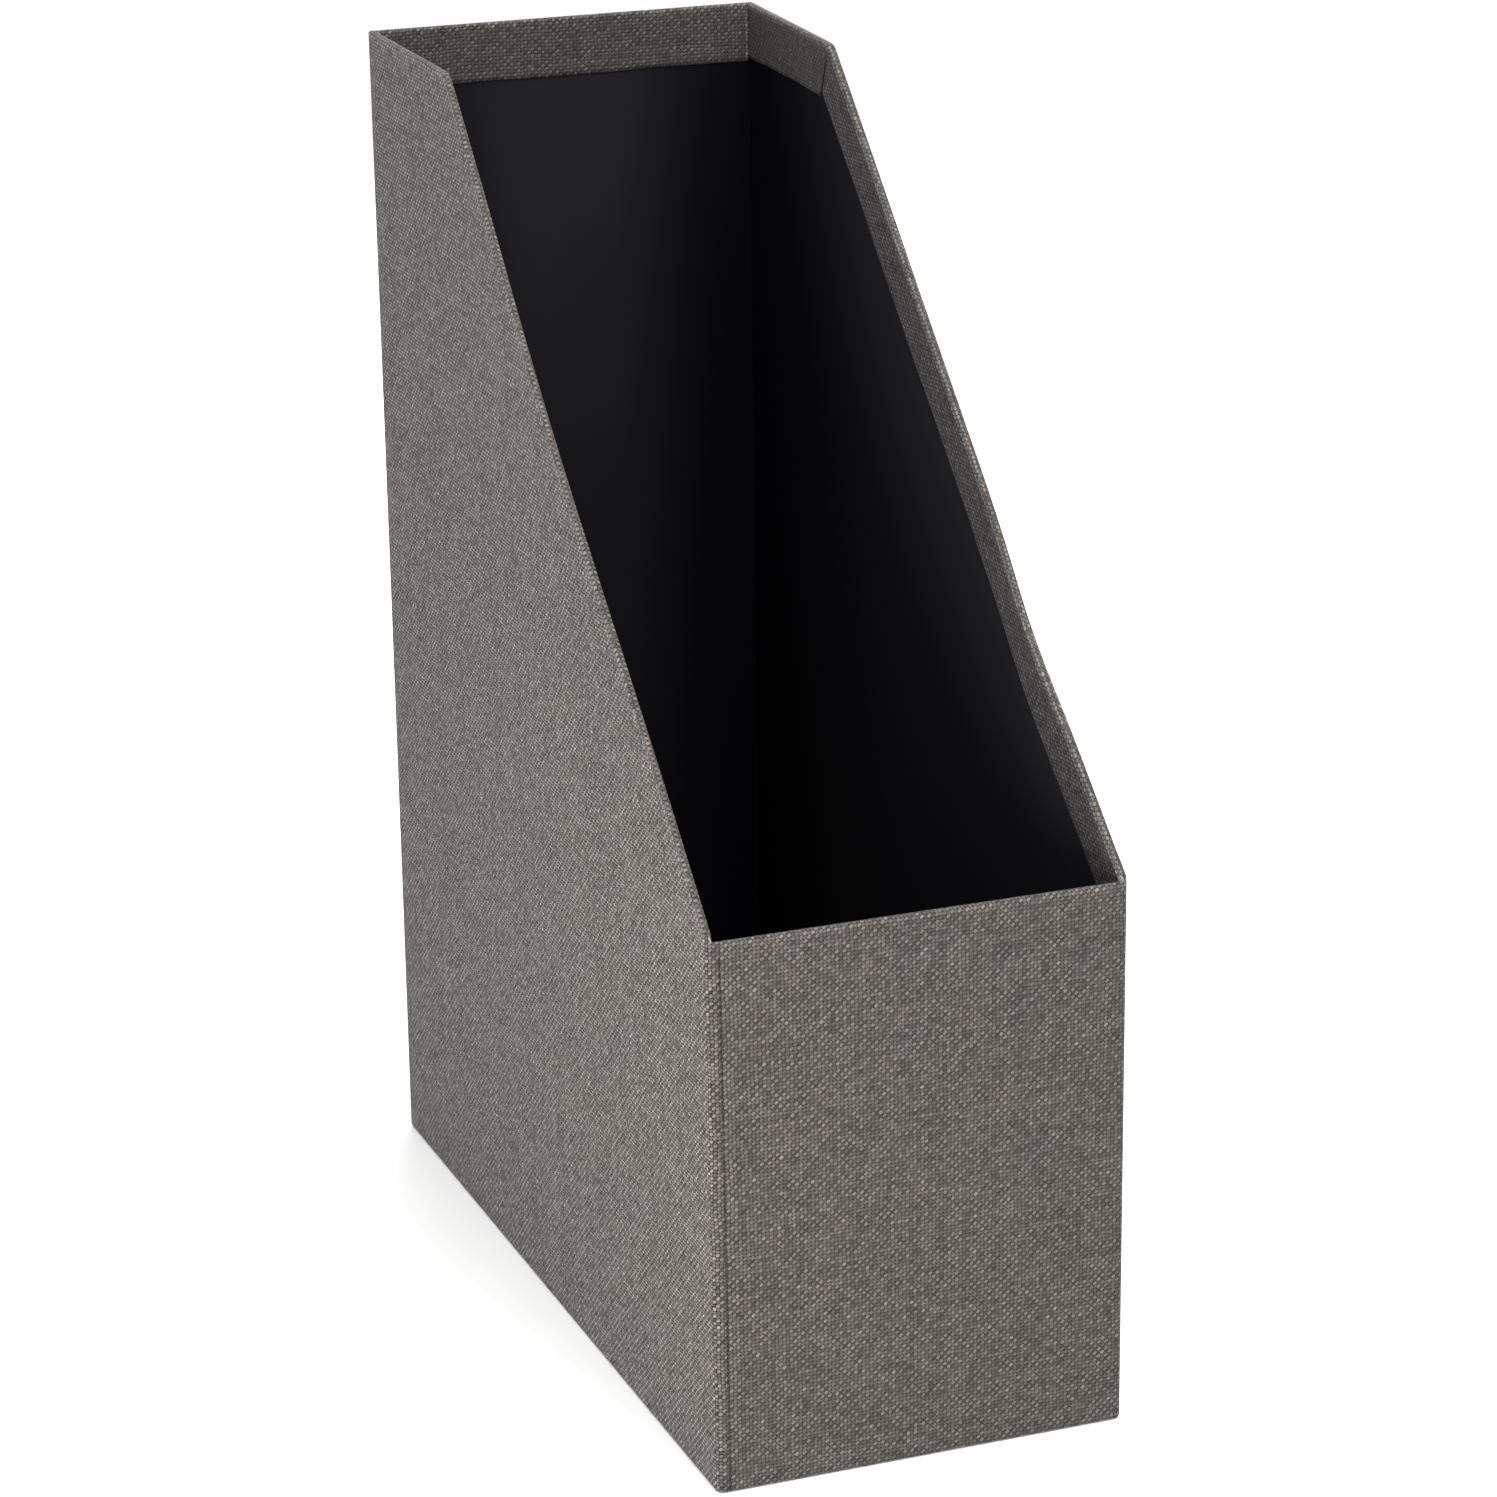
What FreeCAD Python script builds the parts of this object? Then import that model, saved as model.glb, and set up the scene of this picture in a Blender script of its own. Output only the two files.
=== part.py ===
"""Magazine file holder: a tall open box of board, cut away at the front, covered in canvas.

Millimetres. The origin is the middle of the underside, +Z is up, the low front faces -Y and
the width runs along X. Five boards are butted together and stayed with gummed tape, paper
lines the inside, one piece of canvas wraps the outside and turns in over the rim, and a
paper sheet closes the underside.
"""

import FreeCAD, Part
import os
import re
import Sketcher

doc = FreeCAD.newDocument("MagazineFile")

# Driving dimensions: name, value, meaning.
driving = [
    ("width", 110.0, "side to side over the cloth"),
    ("depth", 250.0, "front to back over the cloth"),
    ("height", 320.0, "underside to the back rim"),
    ("front_height", 145.0, "underside to the front rim"),
    ("top_length", 64.0, "level part of each side's rim, behind the slope"),
    ("board", 1.25, "thickness of the grey board"),
    ("cloth", 0.35, "thickness of the canvas"),
    ("lining", 0.15, "thickness of the lining paper"),
    ("tape", 0.12, "thickness of the gummed stay tape"),
    ("base_paper", 0.25, "thickness of the sheet under the base"),
    ("corner_radius", 2.35, "outside radius of the upright corners, over the cloth"),
    ("turn_in", 14.0, "how far the canvas turns in below the rim"),
    ("turn_under", 15.0, "how far the canvas turns in under the base"),
    ("lining_drop", 3.5, "how far the lining stops below the rim, under the turn-in"),
    ("corner_stay_leg", 12.5, "width of a corner stay on each wall"),
    ("corner_stay_drop", 5.0, "how far a corner stay stops below the rim"),
    ("base_stay_leg", 12.0, "width of a base stay on the wall and under the base"),
    ("stay_gap", 0.2, "gap between two stays that butt"),
    ("base_paper_inset", 3.0, "margin of canvas left showing round the base sheet"),
    ("seam_offset", 1.2, "from the front left corner's round to the cloth's cut edge"),
    ("seam_width", 0.5, "width of the shadow gap along the cut edge"),
    ("seam_depth", 0.2, "depth of the shadow gap along the cut edge"),
    ("slit_width", 0.35, "width of the slit in the turn-in at each side's blunt corner"),
]

sheet = doc.addObject("Spreadsheet::Sheet", "Sizes")
for row, (name, value, meaning) in enumerate(driving, start=1):
    sheet.set(f"A{row}", name)
    sheet.set(f"B{row}", str(value))
    sheet.setAlias(f"B{row}", name)
    sheet.set(f"C{row}", meaning)
doc.recompute()

# Worked-out dimensions, in the words of the sheet and of each other.
derived = {
    # planes of the layers, as distances from the middle
    "board_x": "width / 2 - cloth",
    "lining_x": "board_x - board",
    "inside_x": "lining_x - lining",
    "clear_x": "inside_x - cloth",
    "board_y": "depth / 2 - cloth",
    "lining_y": "board_y - board",
    "inside_y": "lining_y - lining",
    "clear_y": "inside_y - cloth",
    # levels above the surface that the file stands on
    "board_foot": "base_paper + cloth",
    "base_top": "board_foot + board",
    "floor_top": "base_top + lining",
    # the sloping rim: rise over run, and its length over its run
    "rise": "(height - front_height) / (depth - top_length)",
    "slant": "sqrt(1 + rise ^ 2)",
    "board_radius": "corner_radius - cloth",
    "stay_foot": "board_foot + base_stay_leg + stay_gap",
    "seam_x": "corner_radius + seam_offset - width / 2",
}
words = [name for name, value, meaning in driving]


def on_sheet(text):
    """Write a size given in plain words as an expression on the sheet."""

    def spelled_out(match):
        word = match.group()
        if word in derived:
            return f"({on_sheet(derived[word])})"
        return f"Sizes.{word}" if word in words else word

    return re.sub("[a-z_]+", spelled_out, text)


def size(text):
    """The present value of a size given in plain words."""
    value = sheet.evalExpression(on_sheet(text))
    return float(getattr(value, "Value", value))


def plane(body, role):
    """One of the body's own origin planes."""
    return next(f for f in body.Origin.OriginFeatures if f.Role == role)


def polygon(body, name, role, corners):
    """A closed sketch on an origin plane, each corner tied to the sheet."""
    sketch = body.newObject("Sketcher::SketchObject", name)
    sketch.AttachmentSupport = (plane(body, role), [""])
    sketch.MapMode = "FlatFace"
    spots = [FreeCAD.Vector(size(across), size(up), 0) for across, up in corners]
    count = len(corners)
    for i in range(count):
        sketch.addGeometry(Part.LineSegment(spots[i], spots[(i + 1) % count]), False)
    for i in range(count):
        sketch.addConstraint(Sketcher.Constraint("Coincident", i, 2, (i + 1) % count, 1))
    for i, (across, up) in enumerate(corners):
        for kind, text, value in (("X", across, spots[i].x), ("Y", up, spots[i].y)):
            tie = Sketcher.Constraint(f"Distance{kind}", -1, 1, i, 1, value)
            tie.Name = f"corner_{i}_{kind.lower()}"
            sketch.addConstraint(tie)
            sketch.setExpression(f"Constraints.{tie.Name}", on_sheet(text))
    return sketch


def rectangle(body, name, role, low, high):
    corners = [low, (high[0], low[1]), high, (low[0], high[1])]
    return polygon(body, name, role, corners)


def new_body(label):
    body = doc.addObject("PartDesign::Body", label)
    body.Label = label
    return body


def put(body, **axes):
    """Bind the body's place to the sheet along the axes named."""
    for axis, text in axes.items():
        body.setExpression(f"Placement.Base.{axis}", on_sheet(text))


def lift(sketch, distance):
    """Move a sketch off its origin plane, along the plane's normal."""
    sketch.setExpression("AttachmentOffset.Base.z", on_sheet(distance))


def extrude(body, kind, sketch, length, away=False, both_ways=False):
    """A pad or pocket of the sketch; away turns it against the plane's normal."""
    feature = body.newObject(f"PartDesign::{kind}", f"{sketch.Name}_{kind.lower()}")
    feature.Profile = sketch
    feature.setExpression("Length", on_sheet(length))
    feature.Reversed = away
    feature.Midplane = both_ways
    doc.recompute()
    return feature


def upright_edges(shape, at):
    """Names of the vertical edges whose position passes the test."""
    names = []
    for number, edge in enumerate(shape.Edges, start=1):
        low, high = edge.BoundBox.ZMin, edge.BoundBox.ZMax
        if high - low > 0.99 * edge.Length and at(edge.CenterOfMass):
            names.append(f"Edge{number}")
    return names


def round_off(body, base, radius, at):
    """Round the vertical edges that pass the test."""
    fillet = body.newObject("PartDesign::Fillet", f"{body.Name}_round")
    fillet.Base = (base, upright_edges(base.Shape, at))
    fillet.setExpression("Radius", on_sheet(radius))
    doc.recompute()
    return fillet


def side_outline(foot, face, rim):
    """A side's outline in Y and Z: inset by face at front and back, and by rim at the rim."""
    return [
        (f"{face} - depth / 2", foot),
        (f"depth / 2 - {face}", foot),
        (f"depth / 2 - {face}", f"height - {rim}"),
        (f"depth / 2 - top_length + {rim} * (slant - 1) / rise", f"height - {rim}"),
        (f"{face} - depth / 2", f"front_height + {face} * rise - {rim} * slant"),
    ]


# Boards. The sides run the full depth, the front and back stand between them, and the base
# lies between all four. The upright corners are sanded round once the walls stand together.
def sanded_block():
    """The outside of the standing boards, with its upright corners rounded."""
    body = new_body("sanded_block")
    corners = side_outline("board_foot", "cloth", "cloth")
    outline = polygon(body, "sanded_outline", "YZ_Plane", corners)
    block = extrude(body, "Pad", outline, "2 * board_x", both_ways=True)
    round_off(body, block, "board_radius", lambda spot: True)
    return body


def side_blank(label, sign):
    body = new_body(label)
    corners = side_outline("board_foot", "cloth", "cloth")
    outline = polygon(body, f"{label}_outline", "YZ_Plane", corners)
    extrude(body, "Pad", outline, "board", away=sign > 0)
    put(body, x=f"{sign} * board_x")
    return body


def end_blank(label, sign, top):
    body = new_body(label)
    outline = rectangle(
        body, f"{label}_outline", "XZ_Plane", ("-lining_x", "board_foot"), ("lining_x", top)
    )
    extrude(body, "Pad", outline, "board", away=sign < 0)
    put(body, y=f"{sign} * board_y")
    return body


def sanded(label, blank):
    """What the sanded corners leave of a board cut square."""
    board = doc.addObject("Part::Common", label)
    board.Label = label
    board.Base = blank
    board.Tool = sanded_corners
    return board


def flat_panel(label, low, high, thickness, level):
    """A level sheet or board, from corner to corner in X and Y."""
    body = new_body(label)
    outline = rectangle(body, f"{label}_outline", "XY_Plane", low, high)
    extrude(body, "Pad", outline, thickness)
    put(body, z=level)
    return body


sanded_corners = sanded_block()
boards = [
    sanded("left_side_board", side_blank("left_side_blank", -1)),
    sanded("right_side_board", side_blank("right_side_blank", 1)),
    sanded("front_board", end_blank("front_blank", -1, "front_height - cloth")),
    sanded("back_board", end_blank("back_blank", 1, "height - cloth")),
    flat_panel(
        "base_board", ("-lining_x", "-lining_y"), ("lining_x", "lining_y"), "board", "board_foot"
    ),
]
doc.recompute()


# Lining papers. The side papers run the full inside depth and the others butt against them.
def side_lining(label, sign):
    body = new_body(label)
    corners = side_outline("base_top", "(cloth + board)", "lining_drop")
    outline = polygon(body, f"{label}_outline", "YZ_Plane", corners)
    extrude(body, "Pad", outline, "lining", away=sign > 0)
    put(body, x=f"{sign} * lining_x")
    return body


def end_lining(label, sign, top):
    body = new_body(label)
    outline = rectangle(
        body, f"{label}_outline", "XZ_Plane", ("-inside_x", "base_top"), ("inside_x", top)
    )
    extrude(body, "Pad", outline, "lining", away=sign < 0)
    put(body, y=f"{sign} * lining_y")
    return body


linings = [
    side_lining("left_side_lining", -1),
    side_lining("right_side_lining", 1),
    end_lining("front_lining", -1, "front_height - lining_drop"),
    end_lining("back_lining", 1, "height - lining_drop"),
    flat_panel(
        "floor_lining", ("-inside_x", "-inside_y"), ("inside_x", "inside_y"), "lining", "base_top"
    ),
]


# Stays. Gummed tape folded round the outside of each joint, under the canvas.
def corner_stay(label, x_sign, y_sign, rim):
    """A tape folded round an upright corner, from the base stays to just below the rim."""
    body = new_body(label)
    inner_x, outer_x = f"{x_sign} * board_x", f"{x_sign} * (board_x + tape)"
    inner_y, outer_y = f"{y_sign} * board_y", f"{y_sign} * (board_y + tape)"
    end_x = f"{x_sign} * (board_x - corner_stay_leg)"
    end_y = f"{y_sign} * (board_y - corner_stay_leg)"
    section = [
        (outer_x, outer_y),
        (outer_x, end_y),
        (inner_x, end_y),
        (inner_x, inner_y),
        (end_x, inner_y),
        (end_x, outer_y),
    ]
    outline = polygon(body, f"{label}_section", "XY_Plane", section)
    strip = extrude(body, "Pad", outline, f"{rim} - corner_stay_drop - stay_foot")
    fold = FreeCAD.Vector(size(outer_x), size(outer_y), 0)
    crease = FreeCAD.Vector(size(inner_x), size(inner_y), 0)

    def near(point):
        return lambda spot: (FreeCAD.Vector(spot.x, spot.y, 0) - point).Length < 0.01

    rounded = round_off(body, strip, "board_radius + tape", near(fold))
    round_off(body, rounded, "board_radius", near(crease))
    put(body, z="stay_foot")
    return body


def base_stay(label, role, sign, face, run):
    """A tape folded round a bottom edge: sign and face place it, run is half its length."""
    body = new_body(label)
    section = [
        (f"{sign} * ({face} + tape)", "board_foot - tape"),
        (f"{sign} * ({face} + tape)", "board_foot + base_stay_leg"),
        (f"{sign} * {face}", "board_foot + base_stay_leg"),
        (f"{sign} * {face}", "board_foot"),
        (f"{sign} * ({face} - base_stay_leg)", "board_foot"),
        (f"{sign} * ({face} - base_stay_leg)", "board_foot - tape"),
    ]
    outline = polygon(body, f"{label}_section", role, section)
    extrude(body, "Pad", outline, f"2 * ({run})", both_ways=True)
    return body


side_run = "board_y - board_radius"
end_run = "board_x - base_stay_leg - stay_gap"
stays = [
    corner_stay("front_left_corner_stay", -1, -1, "front_height"),
    corner_stay("front_right_corner_stay", 1, -1, "front_height"),
    corner_stay("back_left_corner_stay", -1, 1, "height"),
    corner_stay("back_right_corner_stay", 1, 1, "height"),
    base_stay("left_base_stay", "XZ_Plane", -1, "board_x", side_run),
    base_stay("right_base_stay", "XZ_Plane", 1, "board_x", side_run),
    base_stay("front_base_stay", "YZ_Plane", -1, "board_y", end_run),
    base_stay("back_base_stay", "YZ_Plane", 1, "board_y", end_run),
]


# Canvas. A block the size of the whole file is hollowed out and the boards, linings and stays
# are then cut from it, so what is left is the one piece of canvas that lies on them.
def canvas_block():
    body = new_body("canvas_block")
    outline = polygon(body, "block_outline", "YZ_Plane", side_outline("base_paper", "0", "0"))
    block = extrude(body, "Pad", outline, "width", both_ways=True)
    round_off(body, block, "corner_radius", lambda spot: True)

    mouth = rectangle(
        body, "mouth", "XY_Plane", ("-clear_x", "-clear_y"), ("clear_x", "clear_y")
    )
    lift(mouth, "floor_top")
    extrude(body, "Pocket", mouth, "height", away=True)

    front_gap = rectangle(
        body, "front_gap", "XY_Plane", ("-clear_x", "-depth"), ("clear_x", "0")
    )
    lift(front_gap, "front_height")
    extrude(body, "Pocket", front_gap, "height", away=True)

    turn_in_edge = side_outline("floor_top", "(cloth + board + lining)", "turn_in")
    below_turn_in = polygon(body, "below_turn_in", "YZ_Plane", turn_in_edge)
    extrude(body, "Pocket", below_turn_in, "2 * inside_x", both_ways=True)

    underside = rectangle(
        body,
        "underside",
        "XY_Plane",
        ("turn_under - width / 2", "turn_under - depth / 2"),
        ("width / 2 - turn_under", "depth / 2 - turn_under"),
    )
    extrude(body, "Pocket", underside, "board_foot", away=True)

    seam = rectangle(
        body,
        "seam",
        "XZ_Plane",
        ("seam_x", "0"),
        ("seam_x + seam_width", "front_height - cloth"),
    )
    lift(seam, "depth / 2 - seam_depth")
    extrude(body, "Pocket", seam, "depth", away=True)

    slit = polygon(body, "slit", "YZ_Plane", slit_outline())
    extrude(body, "Pocket", slit, "2 * inside_x", both_ways=True)
    return body


def slit_outline():
    """A narrow strip down the turn-in, halving the blunt corner between slope and level."""
    corner_y = "depth / 2 - top_length"
    foot_y = f"({corner_y} + turn_in * (slant - 1) / rise)"
    start_y = f"({corner_y} + 2 * cloth * (slant - 1) / rise)"
    return [
        (f"{foot_y} - slit_width / 2", "height - turn_in"),
        (f"{foot_y} + slit_width / 2", "height - turn_in"),
        (f"{start_y} + slit_width / 2", "height - 2 * cloth"),
        (f"{start_y} - slit_width / 2", "height - 2 * cloth"),
    ]


core = doc.addObject("Part::MultiFuse", "core")
core.Shapes = boards + linings + stays
cover = doc.addObject("Part::Cut", "cover_cloth")
cover.Label = "cover_cloth"
cover.Base = canvas_block()
cover.Tool = core


# Underside paper. It lies on the canvas turned under the base, and steps up inside it.
def underside_paper():
    body = new_body("underside_paper")
    margin_x, margin_y = "(width / 2 - base_paper_inset)", "(depth / 2 - base_paper_inset)"
    step_x, step_y = "(width / 2 - turn_under)", "(depth / 2 - turn_under)"
    whole = rectangle(
        body, "paper_outline", "XY_Plane", (f"-{margin_x}", f"-{margin_y}"), (margin_x, margin_y)
    )
    extrude(body, "Pad", whole, "base_paper")
    middle = rectangle(
        body, "paper_step", "XY_Plane", (f"-{step_x}", f"-{step_y}"), (step_x, step_y)
    )
    extrude(body, "Pad", middle, "board_foot")
    hollow = rectangle(
        body,
        "paper_hollow",
        "XY_Plane",
        (f"base_paper - {step_x}", f"base_paper - {step_y}"),
        (f"{step_x} - base_paper", f"{step_y} - base_paper"),
    )
    extrude(body, "Pocket", hollow, "cloth", away=True)
    return body


pieces = boards + linings + stays + [cover, underside_paper()]
doc.recompute()

for item in doc.Objects:
    if "Invalid" in item.State or "Error" in item.State:
        raise RuntimeError(f"{item.Label} did not compute: {item.State}")
for piece in pieces:
    if piece.Shape.isNull() or not piece.Shape.isValid():
        raise RuntimeError(f"{piece.Label} has no valid shape")
    if len(piece.Shape.Solids) != 1:
        raise RuntimeError(f"{piece.Label} is {len(piece.Shape.Solids)} solids, not one")

os.makedirs("parts", exist_ok=True)
for piece in pieces:
    piece.Shape.exportStep(f"parts/{piece.Label}.step")
    box = piece.Shape.BoundBox
    print(
        f"{piece.Label:26s} {piece.Shape.Volume:9.1f} mm3",
        f"x {box.XMin:7.2f} {box.XMax:7.2f}  y {box.YMin:7.2f} {box.YMax:7.2f}",
        f" z {box.ZMin:6.2f} {box.ZMax:6.2f}",
    )
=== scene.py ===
import math

import bmesh
import bpy
import numpy as np
from mathutils import Matrix, Vector


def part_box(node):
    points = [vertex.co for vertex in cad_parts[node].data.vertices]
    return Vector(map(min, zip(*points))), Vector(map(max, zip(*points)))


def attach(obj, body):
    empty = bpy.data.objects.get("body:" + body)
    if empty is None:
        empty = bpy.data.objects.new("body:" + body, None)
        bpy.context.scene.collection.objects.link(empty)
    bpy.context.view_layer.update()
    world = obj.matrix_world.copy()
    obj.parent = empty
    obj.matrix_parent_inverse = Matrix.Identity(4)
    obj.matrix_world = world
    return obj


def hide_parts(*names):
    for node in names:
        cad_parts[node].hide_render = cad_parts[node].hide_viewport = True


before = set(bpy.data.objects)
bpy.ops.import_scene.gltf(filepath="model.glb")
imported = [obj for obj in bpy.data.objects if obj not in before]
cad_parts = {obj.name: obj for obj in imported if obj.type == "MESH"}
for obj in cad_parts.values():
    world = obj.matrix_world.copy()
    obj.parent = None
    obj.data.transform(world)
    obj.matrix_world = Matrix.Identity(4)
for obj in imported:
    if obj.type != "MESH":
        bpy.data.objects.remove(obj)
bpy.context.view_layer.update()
mm = 0.001
weld = 0.002 * mm  # points nearer than this are one
sliver = 0.001 * mm  # edges shorter than this are dropped

# Sizes that the frame gives, in metres.
clothLow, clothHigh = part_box("cover_cloth")
halfWidth, halfDepth, fileHeight = clothHigh.x, clothHigh.y, clothHigh.z
clothFoot = clothLow.z
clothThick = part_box("left_side_board")[0].x - clothLow.x
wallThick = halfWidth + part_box("left_side_lining")[1].x + clothThick
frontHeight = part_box("front_board")[1].z + clothThick
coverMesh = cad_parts["cover_cloth"].data
topCorners = [v.co.y for v in coverMesh.vertices if v.co.z > fileHeight - 0.01 * mm]
cornerY = min(topCorners)  # where the slope of each side meets its level part
rise = (fileHeight - frontHeight) / (cornerY + halfDepth)
slant = math.hypot(1, rise)
print(f"frame: {2 * halfWidth:.3f} x {2 * halfDepth:.3f} x {fileHeight:.3f} m")


# The camera.
cameraView = {
    "aim": (-0.0228, -0.0688, 0.1722),  # a point on the line of sight
    "distance": 1.2,
    "azimuth": -20.922,  # degrees, negative is from the left
    "elevation": 18.8,
    "roll": -0.673,
    "lens": 116.85,  # mm
    "sensor": 36,  # mm wide
    "nearest": 0.05,  # metres; anything nearer is cut off
}


def placeCamera():
    azimuth, elevation, roll = (
        math.radians(cameraView[word]) for word in ("azimuth", "elevation", "roll")
    )
    back = Vector(
        (
            math.sin(azimuth) * math.cos(elevation),
            -math.cos(azimuth) * math.cos(elevation),
            math.sin(elevation),
        )
    )
    right = Vector((math.cos(azimuth), math.sin(azimuth), 0))
    up = back.cross(right)
    tiltedRight = math.cos(roll) * right + math.sin(roll) * up
    tiltedUp = math.cos(roll) * up - math.sin(roll) * right
    lensData = bpy.data.cameras.new("camera")
    lensData.lens = cameraView["lens"]
    lensData.sensor_width = cameraView["sensor"]
    lensData.clip_start = cameraView["nearest"]
    camera = bpy.data.objects.new("camera", lensData)
    turn = Matrix((tiltedRight, tiltedUp, back)).transposed().to_4x4()
    spot = Vector(cameraView["aim"]) + cameraView["distance"] * back
    camera.matrix_world = Matrix.Translation(spot) @ turn
    bpy.context.scene.collection.objects.link(camera)
    bpy.context.scene.camera = camera


placeCamera()
print("camera placed")


# Short ways to build materials.
def addNode(tree, kind, inputs=None, **settings):
    node = tree.nodes.new(kind)
    for word, value in settings.items():
        setattr(node, word, value)
    for socket, value in (inputs or {}).items():
        if isinstance(value, bpy.types.NodeSocket):
            tree.links.new(value, node.inputs[socket])
        else:
            node.inputs[socket].default_value = value
    return node


def calc(tree, operation, *values):
    inputs = dict(enumerate(values))
    return addNode(tree, "ShaderNodeMath", inputs, operation=operation).outputs[0]


def noise(tree, place, scale, detail=2, roughness=0.5, colour=False):
    inputs = {"Vector": place, "Scale": scale, "Detail": detail, "Roughness": roughness}
    node = addNode(tree, "ShaderNodeTexNoise", inputs)
    return node.outputs["Color" if colour else "Fac"]


def stretched(tree, place, factors):
    inputs = {0: place, 1: factors}
    return addNode(tree, "ShaderNodeVectorMath", inputs, operation="MULTIPLY").outputs[0]


def remap(tree, value, fromLow, fromHigh, toLow, toHigh):
    inputs = {
        "Value": value,
        "From Min": fromLow,
        "From Max": fromHigh,
        "To Min": toLow,
        "To Max": toHigh,
    }
    return addNode(tree, "ShaderNodeMapRange", inputs).outputs["Result"]


def mixColour(tree, factor, first, second):
    node = addNode(tree, "ShaderNodeMix", data_type="RGBA")
    for socket, value in zip((0, 6, 7), (factor, first, second)):
        if isinstance(value, bpy.types.NodeSocket):
            tree.links.new(value, node.inputs[socket])
        else:
            node.inputs[socket].default_value = value if socket == 0 else (*value, 1)
    return node.outputs[2]


def startMaterial(name, **sockets):
    material = bpy.data.materials.new(name)
    material.use_nodes = True
    tree = material.node_tree
    shader = next(n for n in tree.nodes if n.type == "BSDF_PRINCIPLED")
    for word, value in sockets.items():
        shader.inputs[word.replace("_", " ")].default_value = value
    return material, tree, shader


def addBump(tree, shader, height, distance, strength=1.0):
    inputs = {"Height": height, "Distance": distance, "Strength": strength}
    bump = addNode(tree, "ShaderNodeBump", inputs)
    tree.links.new(bump.outputs["Normal"], shader.inputs["Normal"])


# The woven canvas.
canvasLook = {
    "pitch": (1.0 * mm, 0.965 * mm),  # from yarn to yarn, across and up
    "drift": (1.0 * mm, 70),  # slow wander of the yarns, and its scale
    "tremble": (0.3 * mm, 620),  # quick wander, from thick and thin places, and its scale
    "crimp": 0.5,  # how far a yarn goes up and down, in pitches
    "swell": 0.75,  # how high the middle of a yarn stands over its edges, in pitches
    "thinness": (4.0, 6.2),  # of upright and level yarns; 4 fills the pitch, more is thinner
    "slant": 0.14,  # lean of each bump, from the twist of the yarn
    "fibre": (5200, 1300),  # how fine the fibres are, across a yarn and along it
    "fuzz": 0.35,  # how much the fibres add to the relief
    "relief": 0.2 * mm,
    "colour": (0.1122, 0.1012, 0.0912),
    "levelYarn": 0.58,  # how light the level yarns are beside the upright ones
    "slubs": 0.988,  # share of crossings with no light slub
    "cloud": 60,  # scale of the soft light and dark patches
    "gap": (0.3, 1.06),  # heights that are quite dark and fully light
    "lights": {  # what each of these adds to how light the cloth is
        "all": -0.035,
        "yarn": 0.22,
        "crossing": 0.75,
        "fibre": 0.8,
        "cloud": 0.32,
        "slub": 0.3,
    },
    "evenLight": 0.5,  # the mean of all that, which the grain swings about
    "leastLight": 0.05,
}


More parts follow.
